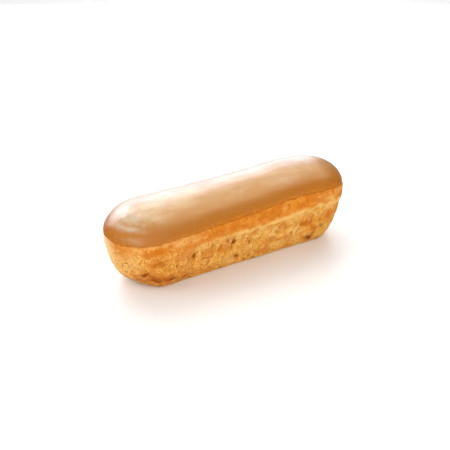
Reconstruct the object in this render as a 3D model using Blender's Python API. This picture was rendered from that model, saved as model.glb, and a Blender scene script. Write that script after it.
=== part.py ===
"""An iced eclair, whole and uncut, lying on its flat base.

Two pieces are built as closed solids: the baked choux bun, with the rough side
that tore open as it rose, and the cap of fondant icing that lies on it.
+X runs along the eclair, +Z is up, and the origin is at the middle of the base.
"""

import math

import bmesh
import bpy
import numpy as np

MM = 0.001

# Outer form, over the icing
LENGTH = 135 * MM
WIDTH = 40.5 * MM
HEIGHT = 40.8 * MM
WIDEST_AT = 25.7 * MM  # height of the widest line
FOOT_WIDTH = 26.0 * MM  # between the sides where they would meet the tray
FOOT_ROUND = 2.6 * MM  # rounding between the sides and the base
SIDE_CURVE = 0.8  # under 1 the side bulges, at 1 it is a plain sine
DOME_POWER = 2.08  # 2 is a round dome, more is squarer
END_STRETCH = 1.09  # length of a rounded end against its half width
END_TUCK = (7.0 * MM, 2.0 * MM)  # how far the left and right ends curl in above the tray
END_TUCK_HEIGHT = 9.0 * MM
WAIST_EVEN_AT = 0.63  # share of the half length where the waist leaves the width as it is

# Unevenness along the length, as shares of the local size
TALLER_TO_RIGHT = 0.044
NARROWER_TO_RIGHT = 0.034
WAIST = 0.07
HUMP = 0.9 * MM  # swelling of the top
HUMP_AT, HUMP_REACH = 31 * MM, 15 * MM

# Icing
ICING_EDGE_AT = 28.7 * MM  # mean height of its lower edge
ICING_EDGE_RISE = 2.5 * MM  # the edge is this much higher at the right end
ICING_EDGE_SWAY = 0.6 * MM  # one long wave on each side
ICING_EDGE_RIPPLE = 0.15 * MM
ICING_EDGE_DIP = 1.2 * MM  # how far it hangs lower round the two ends
DIP_FROM, DIP_TO = 0.6, 0.95  # shares of the half length between which the dip sets in
SWAY_START = 0.16  # angle of the long wave at the middle of the front
SWAY_BACK = -1.24  # and of the back
ICING_THICK = 1.7 * MM
ICING_LIP = 0.8 * MM  # thickness just inside the rounded edge
BLUNT = 0.04  # share of the lip's rounding left off, so that the edge keeps some thickness
ICING_SPREAD = 12 * MM  # distance over which the lip thickens
PIECE_GAP = 0.3 * MM

# Side of the bun
CRUST_IN = 0.3 * MM  # the crust lies this far behind the outer form
RIDGE_AT = 20.7 * MM  # mean height of the crack's upper lip
RIDGE_WAVES = ((1.6 * MM, 25 * MM, 5.84), (0.8 * MM, 9 * MM, 3.36))  # its sway, length and start
RIDGE_BEHIND = 3.8  # angle by which the waves behind differ from those in front
RIDGE_OUT, RIDGE_HALF = 0.35 * MM, 1.3 * MM  # how far the lip stands out, and its half height
GROOVE_IN, GROOVE_HALF = 0.4 * MM, 1.2 * MM  # the crack below it
GROOVE_BELOW = 1.9 * MM
SHUT_ENDS = 0.15  # how far the crack is open where it runs out
FRONT_OPENS = (-45 * MM, 5 * MM)  # in front it opens between these places
BACK_OPENS = (-62 * MM, -32 * MM)
BACK_SHUTS = (5 * MM, 60 * MM)
SIDES_MEET = 20 * MM  # width over which the front's crack passes into the back's
SECOND_LIP_AT, SECOND_LIP_HALF = 28.1 * MM, 0.8 * MM  # a fainter lip near the right end
SECOND_LIP_OUT = 0.25 * MM
SECOND_LIP_RISES = (35 * MM, 43 * MM)
TORN_IN = 0.35 * MM  # the torn side lies this far behind the crust
TORN_FADE = 1.5 * MM
PIT_COUNT = 120
PIT_SEED = 7
PIT_HEIGHT = (4.0 * MM, 18.5 * MM)
PIT_RADIUS = (1.3 * MM, 2.5 * MM)
PIT_DEPTH = (0.35 * MM, 1.0 * MM)
PIT_STRETCH = (0.8, 1.6)  # height against width
SMALL_PITS = 1.8  # over 1 makes small pits the more common
# The largest open bubbles: place along, height, radius and depth in mm, turned about for the back
OPEN_BUBBLES = (
    (-10, 15.5, 1.9, 1.3), (-33, 14, 1.4, 1.0), (-1, 12.5, 1.2, 1.0), (-7, 5.5, 1.7, 0.9),
    (1, 4.5, 1.3, 0.8), (-22.5, 16.5, 1.3, 0.8), (-14.5, 18, 1.1, 0.7), (-18.5, 13, 1.1, 0.8),
    (-42, 12, 0.9, 0.8), (16, 13.5, 1.2, 0.7), (-23.5, 8, 1.3, 0.8), (26, 10, 1.0, 0.6),
)
BUBBLE_STRETCH = 1.3
LUMP = 0.45 * MM
CRUST_FADE = 3 * MM  # the relief dies out over this distance to the icing
FOOT_FADE = 2 * MM  # and over this height to the base
TURN_IN = 3.5 * MM  # distance over which the crust turns in under the icing

# Mesh
STRAIGHT_COLUMNS = 45
END_COLUMNS = 33
SIDE_ROWS = 20
UNDER_ROWS = 5  # hidden rows, shared by the bun's top and the icing's inner face
PROFILE_SAMPLES = 240
ICING_ROWS = (0, 0.008, 0.03, 0.09, 0.2, 0.36, 0.54, 0.77, 1)  # from its edge to the top, close at the lip
MERGE = 0.01 * MM
TINY = 1e-12

# Looks
CHOUX_COLOUR, CHOUX_ROUGHNESS = (0.73, 0.32, 0.05, 1), 0.75
ICING_COLOUR, ICING_ROUGHNESS = (0.59, 0.28, 0.09, 1), 0.35


def smooth_step(x):
    """0 below 0, 1 above 1, and an S curve between."""
    x = np.clip(x, 0, 1)
    return x * x * (3 - 2 * x)


def ramp(x, start, end):
    """An S curve from 0 at the start to 1 at the end."""
    return smooth_step((x - start) / (end - start))


def make_profile():
    """The half cross-section: arc length, half width and height, from the base to the top."""
    height = WIDEST_AT * (1 - np.cos(np.linspace(0, math.pi / 2, PROFILE_SAMPLES)))
    flare = np.sin(math.pi / 2 * height / WIDEST_AT) ** SIDE_CURVE
    side = FOOT_WIDTH / 2 + (WIDTH - FOOT_WIDTH) / 2 * flare
    tuck = 1 - np.minimum(height / FOOT_ROUND, 1)
    side -= FOOT_ROUND * (1 - np.sqrt(1 - tuck**2))
    angle = np.linspace(0, math.pi / 2, PROFILE_SAMPLES)[1:]
    dome = WIDTH / 2 * np.maximum(np.cos(angle), 0) ** (2 / DOME_POWER)
    rise = WIDEST_AT + (HEIGHT - WIDEST_AT) * np.sin(angle) ** (2 / DOME_POWER)
    half_width = np.concatenate([side, dome])
    half_width[-1] = 0
    height = np.concatenate([height, rise])
    steps = np.hypot(np.diff(half_width), np.diff(height))
    return np.concatenate([[0], np.cumsum(steps)]), half_width, height


ARC, HALF_WIDTH, PROFILE_HEIGHT = make_profile()


def arc_at(height):
    """How far up the profile a height below the dome's top is reached."""
    return np.interp(height, PROFILE_HEIGHT, ARC)


def make_columns():
    """The outline in plan: a spine point and an outward direction for each column, anticlockwise."""
    spine = LENGTH / 2 - END_STRETCH * WIDTH / 2
    along = np.linspace(-spine, spine, STRAIGHT_COLUMNS + 1)
    turn = np.linspace(-math.pi / 2, math.pi / 2, END_COLUMNS + 1)[1:-1]
    ones, arc_ones = np.ones_like(along), np.ones_like(turn)
    end_x, end_y = END_STRETCH * np.cos(turn), np.sin(turn)
    spine_x = np.concatenate([along, spine * arc_ones, along[::-1], -spine * arc_ones])
    out_x = np.concatenate([0 * ones, end_x, 0 * ones, -end_x])
    out_y = np.concatenate([-ones, end_y, ones, -end_y])
    return spine_x, out_x, out_y


SPINE_X, OUT_X, OUT_Y = make_columns()


def outer_form(arc):
    """Points of the smooth outer form, from arc lengths with one column for each outline column."""
    half_width = np.interp(arc, ARC, HALF_WIDTH)
    z = np.interp(arc, ARC, PROFILE_HEIGHT)
    x = SPINE_X + half_width * OUT_X
    y = half_width * OUT_Y
    tuck = np.where(OUT_X < 0, END_TUCK[0], END_TUCK[1]) * OUT_X
    x = x - tuck * np.clip(1 - z / END_TUCK_HEIGHT, 0, 1) ** 2
    t = 2 * x / LENGTH
    y = y * (1 - NARROWER_TO_RIGHT * t + WAIST * (t * t - WAIST_EVEN_AT**2))
    z = z * (1 + TALLER_TO_RIGHT * t)
    z = z + HUMP * np.exp(-(((x - HUMP_AT) / HUMP_REACH) ** 2)) * (z / HEIGHT) ** 3
    return np.stack([x, y, z], axis=-1)


def outward(points):
    """Unit normals of a grid of points, rows going up and columns going round."""
    around = np.roll(points, -1, axis=1) - np.roll(points, 1, axis=1)
    up = np.gradient(points, axis=0)
    normal = np.cross(around, up)
    length = np.linalg.norm(normal, axis=-1, keepdims=True)
    return normal / np.maximum(length, TINY)


def icing_edge_arc():
    """Arc length of the icing's lower edge in each column: a gentle wave that climbs to the right."""
    edge = outer_form(np.full(len(SPINE_X), arc_at(ICING_EDGE_AT)))
    t, y = 2 * edge[:, 0] / LENGTH, edge[:, 1] / MM
    behind = (1 + np.tanh(y / 8)) / 2
    sway = np.sin(math.pi * t + SWAY_START + (SWAY_BACK - SWAY_START) * behind)
    ripple = np.sin(11 * t + 0.1 * y) + np.sin(23 * t + 0.2 * y + 1)
    dip = ramp(abs(t), DIP_FROM, DIP_TO)
    level = ICING_EDGE_AT + ICING_EDGE_RISE * t - ICING_EDGE_DIP * dip
    level += ICING_EDGE_SWAY * sway + ICING_EDGE_RIPPLE * ripple
    return arc_at(level / (1 + TALLER_TO_RIGHT * t))


def lumps(points):
    """Slow swelling and hollowing of the whole pastry, from a few crossed waves."""
    x, y, z = (points[..., i] / MM for i in range(3))
    wave = np.sin(x / 8.3 + 0.05 * y + 1.3) * np.cos(z / 9.0 + x / 37)
    wave += 0.6 * np.sin(x / 4.7 - z / 6.1 + np.sin(y / 11) + 0.4)
    wave += 0.4 * np.sin(x / 2.9 + z / 4.3 + y / 7.7)
    return LUMP / 2 * wave


def ridge_height(x, side):
    """Height of the crack's upper lip: two waves, shifted from the front (side -1) to the back."""
    shift = RIDGE_BEHIND * (side + 1) / 2
    return RIDGE_AT + sum(sway * np.sin(x / length + start + shift) for sway, length, start in RIDGE_WAVES)


def ridge_strength(x, y):
    """How far the crack has opened: it runs out at the left end, and behind at the right end too."""
    front = ramp(x, *FRONT_OPENS)
    back = ramp(x, *BACK_OPENS) * (1 - ramp(x, *BACK_SHUTS))
    behind = smooth_step(0.5 + y / SIDES_MEET)
    return SHUT_ENDS + (1 - SHUT_ENDS) * (front + (back - front) * behind)


def second_lip(x, y, z):
    """A short, faint lip above the crack, in front near the right end."""
    lip = np.exp(-(((z - SECOND_LIP_AT) / SECOND_LIP_HALF) ** 2))
    return SECOND_LIP_OUT * lip * ramp(x, *SECOND_LIP_RISES) * smooth_step(0.5 - y / SIDES_MEET)


def pits():
    """The torn bubbles: centre, radius, upright stretch and depth of each, by seeded draws."""
    draw = np.random.default_rng(PIT_SEED)
    column = draw.integers(0, len(SPINE_X), PIT_COUNT)
    height = draw.uniform(*PIT_HEIGHT, PIT_COUNT)
    size = draw.random(PIT_COUNT) ** SMALL_PITS
    radius = PIT_RADIUS[0] + (PIT_RADIUS[1] - PIT_RADIUS[0]) * size
    depth = draw.uniform(*PIT_DEPTH, PIT_COUNT)
    stretch = draw.uniform(*PIT_STRETCH, PIT_COUNT)
    centres = outer_form(np.tile(arc_at(height)[:, None], len(SPINE_X)))
    return centres[np.arange(PIT_COUNT), column], radius, stretch, depth


def crust_relief(points):
    """Outward offset of the bun's skin from the smooth form: lumps, the crack and the pits."""
    x, y, z = points[..., 0], points[..., 1], points[..., 2]
    side = np.tanh(y / (4 * MM))
    above = z - ridge_height(x, side)
    strength = ridge_strength(x, y)
    torn = smooth_step(0.3 - above / TORN_FADE) * strength
    lip = np.exp(-((above / RIDGE_HALF) ** 2))
    groove = np.exp(-(((above + GROOVE_BELOW) / GROOVE_HALF) ** 2))
    offset = lumps(points) - CRUST_IN - TORN_IN * torn
    offset += strength * (RIDGE_OUT * lip - GROOVE_IN * groove) + second_lip(x, y, z)
    for centre, radius, stretch, depth in zip(*pits()):
        reach = np.hypot(x - centre[0], y - centre[1]) / radius
        climb = (z - centre[2]) / (radius * stretch)
        offset -= depth * np.exp(-(reach**2) - climb**2)
    turned_x = np.where(y < 0, x, -x)
    for along, up, radius, depth in np.array(OPEN_BUBBLES) * MM:
        reach = (turned_x - along) / radius
        climb = (z - up) / (radius * BUBBLE_STRETCH)
        offset -= depth * np.exp(-(reach**2) - climb**2)
    return offset


def icing_thickness(above_edge):
    """Thickness of the icing at a distance in from its edge: a rounded lip that thickens slowly."""
    nose = np.sqrt(1 - (1 - np.clip(above_edge / ICING_LIP, BLUNT, 1)) ** 2)
    more = (ICING_THICK - ICING_LIP) * smooth_step(above_edge / ICING_SPREAD)
    return ICING_LIP * nose + more


def bun_rows(edge):
    """Points of the bun, row by row: up the side to the icing's edge, then under the icing to the top."""
    up_side = np.linspace(0, 1, SIDE_ROWS + 1)[:-1, None] * edge
    arc = np.vstack([up_side, under_icing_arcs(edge)])
    form = outer_form(arc)
    near_edge = smooth_step((arc - edge) / TURN_IN + 1)
    inset = (ICING_LIP + PIECE_GAP) * near_edge
    inset += (ICING_THICK - ICING_LIP) * smooth_step((arc - edge) / ICING_SPREAD)
    open_crust = smooth_step((edge - arc) / CRUST_FADE) * smooth_step(form[..., 2] / FOOT_FADE)
    offset = crust_relief(form) * open_crust - inset
    points = form + outward(form) * offset[..., None]
    points[0, :, 2] = 0
    points[-1] = form[-1] - [0, 0, ICING_THICK + PIECE_GAP]
    return points


def under_icing_arcs(edge):
    """Arc lengths of the rows from the icing's edge to the top, even apart from a short first step."""
    share = np.linspace(0, 1, UNDER_ROWS + 1)[:, None] ** 1.2
    return edge + (ARC[-1] - edge) * share


def icing_rows(edge):
    """Outer rows of the icing from its edge to the top, then its inner rows from the edge to the top."""
    share = np.array(ICING_ROWS)[:, None]
    bed = bun_rows(edge)[SIDE_ROWS:]
    bed_form = outer_form(under_icing_arcs(edge))
    lift = outward(bed_form)
    lift[-1] = (0, 0, 1)
    inner = bed + PIECE_GAP * lift
    arc = edge + (ARC[-1] - edge) * share
    form = outer_form(arc)
    up = outward(form)
    up[-1] = (0, 0, 1)
    above = arc - edge
    full = ICING_LIP + (ICING_THICK - ICING_LIP) * smooth_step(above / ICING_SPREAD)
    outer = form - (full - icing_thickness(above))[..., None] * up
    return outer, inner


def skin(bm, rows):
    """Joins rows of vertices with quads, round and up, and returns the rows as bmesh vertices."""
    rings = [[bm.verts.new(p) for p in row] for row in rows]
    for low, high in zip(rings, rings[1:]):
        bridge(bm, low, high)
    return rings


def bridge(bm, low, high):
    """A band of quads between two rings with equally many vertices."""
    for i in range(len(low)):
        j = (i + 1) % len(low)
        bm.faces.new((low[i], low[j], high[j], high[i]))


def finish_object(name, bm, colour, roughness):
    """Closes the seam along the top, then makes a smooth-shaded object with its own material."""
    bmesh.ops.remove_doubles(bm, verts=bm.verts, dist=MERGE)
    bmesh.ops.dissolve_degenerate(bm, edges=bm.edges, dist=MERGE)
    bmesh.ops.recalc_face_normals(bm, faces=bm.faces)
    mesh = bpy.data.meshes.new(name)
    bm.to_mesh(mesh)
    bm.free()
    mesh.shade_smooth()
    material = bpy.data.materials.new(name)
    material.use_nodes = True
    shader = material.node_tree.nodes["Principled BSDF"]
    shader.inputs["Base Color"].default_value = colour
    shader.inputs["Roughness"].default_value = roughness
    shader.inputs["Metallic"].default_value = 0
    mesh.materials.append(material)
    obj = bpy.data.objects.new(name, mesh)
    bpy.context.scene.collection.objects.link(obj)
    return obj


def make_bun(edge):
    """The choux bun: a skin from base to top, closed below by one flat face."""
    bm = bmesh.new()
    rings = skin(bm, bun_rows(edge))
    bm.faces.new(reversed(rings[0]))
    return finish_object("choux_bun", bm, CHOUX_COLOUR, CHOUX_ROUGHNESS)


def make_icing(edge):
    """The fondant cap: an outer and an inner skin, joined round their lower edges."""
    bm = bmesh.new()
    outer, inner = icing_rows(edge)
    outer_rings = skin(bm, outer)
    inner_rings = skin(bm, inner)
    bridge(bm, inner_rings[0], outer_rings[0])
    return finish_object("fondant_icing", bm, ICING_COLOUR, ICING_ROUGHNESS)


def centre_on_origin(objects):
    """Moves all the pieces together, so that the middle of their common box is over the origin."""
    corners = np.array([v.co for obj in objects for v in obj.data.vertices])
    middle = (corners.min(0) + corners.max(0)) / 2
    for obj in objects:
        for v in obj.data.vertices:
            v.co.x -= middle[0]
            v.co.y -= middle[1]


def main():
    for obj in list(bpy.data.objects):
        bpy.data.objects.remove(obj)
    edge = icing_edge_arc()
    centre_on_origin([make_bun(edge), make_icing(edge)])


main()
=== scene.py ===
import math

import bmesh
import bpy
import numpy as np
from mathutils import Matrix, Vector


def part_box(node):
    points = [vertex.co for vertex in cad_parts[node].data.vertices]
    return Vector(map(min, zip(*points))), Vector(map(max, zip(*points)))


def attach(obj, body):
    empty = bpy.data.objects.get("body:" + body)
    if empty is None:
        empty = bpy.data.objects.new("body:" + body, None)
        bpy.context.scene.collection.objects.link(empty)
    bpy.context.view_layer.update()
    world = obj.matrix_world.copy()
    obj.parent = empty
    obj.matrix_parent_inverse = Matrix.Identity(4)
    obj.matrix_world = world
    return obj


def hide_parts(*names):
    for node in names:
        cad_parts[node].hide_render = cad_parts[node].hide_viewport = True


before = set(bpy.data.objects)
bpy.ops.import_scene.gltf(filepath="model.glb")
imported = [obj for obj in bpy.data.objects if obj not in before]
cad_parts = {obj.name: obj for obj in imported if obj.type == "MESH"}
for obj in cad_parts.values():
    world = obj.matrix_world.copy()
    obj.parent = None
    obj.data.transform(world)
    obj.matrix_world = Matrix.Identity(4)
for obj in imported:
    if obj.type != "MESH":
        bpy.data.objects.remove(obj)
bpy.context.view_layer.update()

mm = 0.001

# Outer form of the eclair, measured over the icing
form = {
    "length": 135 * mm,
    "width": 40.5 * mm,
    "height": 40.8 * mm,
    "widestAt": 25.7 * mm,      # height of the widest line
    "footWidth": 26 * mm,
    "footRound": 2.6 * mm,      # rounding between the sides and the base
    "sideCurve": 0.8,           # under 1 the side bulges
    "domePower": 2.08,          # 2 is a round dome, more is squarer
    "endStretch": 1.09,         # length of a rounded end against its half width
    "tuckLeft": 7 * mm,         # how far the ends curl in above the tray
    "tuckRight": 2 * mm,
    "tuckHeight": 9 * mm,
    "tallerToRight": 0.044,
    "narrowerToRight": 0.034,
    "waist": 0.07,
    "waistEvenAt": 0.63,
    "hump": 0.9 * mm,           # swelling of the top, with its place and reach
    "humpAt": 31 * mm,
    "humpReach": 15 * mm,
    "profileSamples": 600,
}


# 0 below 0, 1 above 1, and 3x^2 - 2x^3 between.
def smoothStep(x):
    x = np.clip(x, 0, 1)
    return x * x * (3 - 2 * x)


# A smooth step that starts and ends at given places.
def ramp(x, start, end):
    return smoothStep((x - start) / (end - start))


# A bell of height 1: e to the minus square of x over its reach.
def bell(x, reach):
    return np.exp(-((x / reach) ** 2))


# Half cross-section from the base to the top: below the widest line the half width grows with a
# power of a sine of the height, less a quarter circle at the foot, and above it the curve is a
# superellipse. Gives arc lengths, half widths and heights.
def profileCurve():
    count = form["profileSamples"]
    half = form["width"] / 2
    low = form["widestAt"] * (1 - np.cos(np.linspace(0, math.pi / 2, count)))
    flare = np.sin(math.pi / 2 * low / form["widestAt"]) ** form["sideCurve"]
    side = form["footWidth"] / 2 + (half - form["footWidth"] / 2) * flare
    tuck = 1 - np.minimum(low / form["footRound"], 1)
    side = side - form["footRound"] * (1 - np.sqrt(1 - tuck**2))
    angle = np.linspace(0, math.pi / 2, count)[1:]
    dome = half * np.maximum(np.cos(angle), 0) ** (2 / form["domePower"])
    rise = form["height"] - form["widestAt"]
    high = form["widestAt"] + rise * np.sin(angle) ** (2 / form["domePower"])
    widths = np.concatenate([side, dome])
    widths[-1] = 0
    heights = np.concatenate([low, high])
    steps = np.hypot(np.diff(widths), np.diff(heights))
    return np.concatenate([[0], np.cumsum(steps)]), widths, heights


arcs, halfWidths, heights = profileCurve()


# Arc length at which the cross-section reaches a height.
def arcAt(height):
    return np.interp(height, heights, arcs)


# A new object in the scene.
def addObject(name, data):
    thing = bpy.data.objects.new(name, data)
    bpy.context.scene.collection.objects.link(thing)
    return thing


# Outline in plan, anticlockwise from the front left: a point of the spine and an outward
# direction for each column, straight along the sides and half ellipses round the ends.
def outlineColumns(straight, ends):
    spine = form["length"] / 2 - form["endStretch"] * form["width"] / 2
    along = np.linspace(-spine, spine, straight + 1)
    turn = np.linspace(-math.pi / 2, math.pi / 2, ends + 1)[1:-1]
    sides, rounds = np.ones_like(along), np.ones_like(turn)
    endX, endY = form["endStretch"] * np.cos(turn), np.sin(turn)
    spineX = np.concatenate([along, spine * rounds, along[::-1], -spine * rounds])
    outX = np.concatenate([0 * sides, endX, 0 * sides, -endX])
    outY = np.concatenate([-sides, endY, sides, -endY])
    return spineX, outX, outY


# Points of the smooth form for arc lengths, one column for each outline column: the cross-section
# is pushed out from the spine, its ends tucked in low down by a squared ramp, then the whole is
# widened, waisted and raised along its length, with a bell-shaped hump on top.
def formPoints(arc, columns):
    spineX, outX, outY = columns
    halfWidth = np.interp(arc, arcs, halfWidths)
    z = np.interp(arc, arcs, heights)
    x = spineX + halfWidth * outX
    y = halfWidth * outY
    tuck = np.where(outX < 0, form["tuckLeft"], form["tuckRight"]) * outX
    x = x - tuck * np.clip(1 - z / form["tuckHeight"], 0, 1) ** 2
    t = 2 * x / form["length"]
    y = y * (1 - form["narrowerToRight"] * t + form["waist"] * (t * t - form["waistEvenAt"] ** 2))
    z = z * (1 + form["tallerToRight"] * t)
    z = z + form["hump"] * bell(x - form["humpAt"], form["humpReach"]) * (z / form["height"]) ** 3
    return np.stack([x, y, z], axis=-1)


# Unit normals of a grid that closes on itself round its columns: the cross product of the
# differences round it and up it.
def outwardNormals(points):
    around = np.roll(points, -1, axis=1) - np.roll(points, 1, axis=1)
    normal = np.cross(around, np.gradient(points, axis=0))
    length = np.linalg.norm(normal, axis=-1, keepdims=True)
    return normal / np.maximum(length, 1e-12)


latticePrimes = (73856093, 19349663, 83492791, 2654435)
mixPrimes = (2246822519, 3266489917)
lowBits = np.uint64(0xFFFFFFFF)
wordSize = 2.0**32
seedStep = 7
noiseGain = 1.6     # brings gradient noise to about -1 to 1


# Repeatable random numbers from 0 to 1 at whole-number places: the places times large primes,
# mixed by exclusive or, shifted and multiplied twice.
def latticeRandom(place, seed):
    number = np.zeros(place.shape[:-1], dtype=np.int64) ^ (seed + 1) * latticePrimes[3]
    for axis in range(3):
        number = number ^ place[..., axis].astype(np.int64) * latticePrimes[axis]
    number = number.astype(np.uint64) & lowBits
    for shift, prime in zip((15, 13), mixPrimes):
        number = ((number ^ (number >> np.uint64(shift))) * np.uint64(prime)) & lowBits
    return (number ^ (number >> np.uint64(16))) / wordSize


# Gradient noise, about -1 to 1 with features one unit wide: at each of the eight lattice corners
# a random lean times the way from it, blended by a quintic ease.
def softNoise(points, seed):
    base = np.floor(points)
    part = points - base
    ease = part**3 * (part * (part * 6 - 15) + 10)
    total = np.zeros(points.shape[:-1])
    for corner in np.ndindex(2, 2, 2):
        corner = np.array(corner)
        lean = [2 * latticeRandom(base + corner, seed * seedStep + n) - 1 for n in range(3)]
        slope = (np.stack(lean, axis=-1) * (part - corner)).sum(axis=-1)
        total += slope * np.prod(np.where(corner, ease, 1 - ease), axis=-1)
    return noiseGain * total


# Cell noise: distances to the nearest and next nearest of points strewn one to a unit cell, and
# a random number that belongs to the nearest.
def cellNoise(points, seed):
    base = np.floor(points)
    nearest = np.full(points.shape[:-1], 9.0)
    second = nearest.copy()
    mark = np.zeros_like(nearest)
    for step in np.ndindex(3, 3, 3):
        cell = base + np.array(step) - 1
        place = [latticeRandom(cell, seed * seedStep + n) for n in range(3)]
        distance = np.linalg.norm(points - cell - np.stack(place, axis=-1), axis=-1)
        closer = distance < nearest
        second = np.where(closer, nearest, np.minimum(second, distance))
        mark = np.where(closer, latticeRandom(cell, seed * seedStep + 3), mark)
        nearest = np.minimum(nearest, distance)
    return nearest, second, mark


# Mean over a square of grid points, wrapping round the columns and held at the first and last rows.
def gridBlur(values, reach):
    for axis, mode in ((1, "wrap"), (0, "edge")):
        pad = [(0, 0), (0, 0)]
        pad[axis] = (reach, reach)
        wide = np.pad(values, pad, mode=mode)
        count = values.shape[axis]
        values = sum(np.take(wide, range(k, k + count), axis=axis) for k in range(2 * reach + 1))
        values = values / (2 * reach + 1)
    return values


# Mesh object from a stack of rings of points, bottom ring first. Where the first or last ring lies
# flat on the spine it is closed by merging, and named values are kept as attributes.
def ringMesh(name, rings, values, merge=0.004 * mm):
    rows, columns = rings.shape[:2]
    index = np.arange(rows * columns).reshape(rows, columns)
    right = np.roll(index, -1, axis=1)
    quads = np.stack([index[:-1], right[:-1], right[1:], index[1:]], axis=-1).reshape(-1, 4)
    mesh = bpy.data.meshes.new(name)
    mesh.from_pydata(rings.reshape(-1, 3), [], quads)
    for label, value in values.items():
        layer = mesh.attributes.new(label, "FLOAT", "POINT")
        layer.data.foreach_set("value", np.ascontiguousarray(value, dtype=np.float32).ravel())
    bm = bmesh.new()
    bm.from_mesh(mesh)
    bmesh.ops.remove_doubles(bm, verts=bm.verts, dist=merge)
    bmesh.ops.dissolve_degenerate(bm, edges=bm.edges, dist=merge)
    bmesh.ops.recalc_face_normals(bm, faces=bm.faces)
    bm.to_mesh(mesh)
    bm.free()
    mesh.shade_smooth()
    print(name, len(mesh.vertices), "vertices")
    return addObject(name, mesh)


icing = {
    "edgeAt": 28.7 * mm,        # mean height of its lower edge
    "edgeRise": 2.5 * mm,       # and how much higher it is at the right end
    "edgeSway": 0.6 * mm,
    "swayFront": 0.16,
    "swayBack": -1.24,
    "sidesMeet": 8,             # mm across, where the sway in front passes into that behind
    "edgeRipple": 0.15 * mm,
    "ripples": ((11, 0.1, 0), (23, 0.2, 1)),    # pace along, pace across, start
    "edgeDip": 1.2 * mm,        # how far it hangs lower round the ends
    "dipAt": (0.6, 0.95),       # where that sets in, as a share of the half length
    "edgeFray": 0.32 * mm,      # fine unevenness of the edge, its length, and the shares of each layer
    "frayLength": 3.2 * mm,
    "frayLayers": ((1.0, 1.0), (0.4, 0.35)),
    "thick": 1.7 * mm,
    "lip": 0.45 * mm,
    "lipReach": 1.4 * mm,       # the rows crowd together over this distance from the edge
    "lipCrowd": 1.6,
    "noseLeast": 0.04,
    "spread": 12 * mm,          # distance over which the lip thickens
    "gap": 0.06 * mm,           # to the bun
    "swell": 0.26 * mm,         # slow unevenness of the poured surface, and its length
    "swellLength": 17 * mm,
    "swellFade": 6 * mm,
    "dimple": 0.07 * mm,
    "dimpleLength": 7 * mm,
    "leftDimple": 0.24 * mm,    # more uneven round the left end
    "leftDimpleLengths": (8 * mm, 7 * mm, 3.6 * mm),
    "leftDimpleFades": (-36 * mm, -50 * mm),
    "leftFine": (0.4, 3 * mm),  # share and length of its finer layer
    # pale spots, which are painted highlights, and deeper spots, those at the left tip painted dark
    # reflections: place along, height, half length and half height in mm, strength
    "paintedHighlights": ((-61.3, 32.3, 4, 1.1, 0.8), (-61.5, 28, 3, 1.6, 0.35), (-50.7, 36.4, 6, 1.8, 0.4),
                  (-59, 36.5, 5, 2.5, 0.9), (-66, 33, 2, 1.6, 0.6), (-46, 41, 18, 3.5, 0.4),
                  (24, 38.6, 7, 1.2, 0.35)),
    "deepSpots": ((-66.7, 28.5, 2, 3, 0.45), (-61.6, 33.8, 2.2, 1.2, 0.8), (-53, 30, 6, 2.2, 1),
                  (-37, 35, 8, 1.6, 0.4), (-20, 33, 10, 1.6, 0.3)),
    # deeper low at the left and along the right: strength, ramp along, ramp up
    "deepLeft": (0.75, (-46 * mm, -60 * mm), (37 * mm, 31 * mm)),
    "deepRight": (0.2, (5 * mm, 40 * mm)),
    "columns": (180, 132),
    "lipRows": 9,
    "topRows": 62,
    "innerRows": 10,
    "innerCrowd": 1.2,
    "riseScale": 10 * mm,
}

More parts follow.
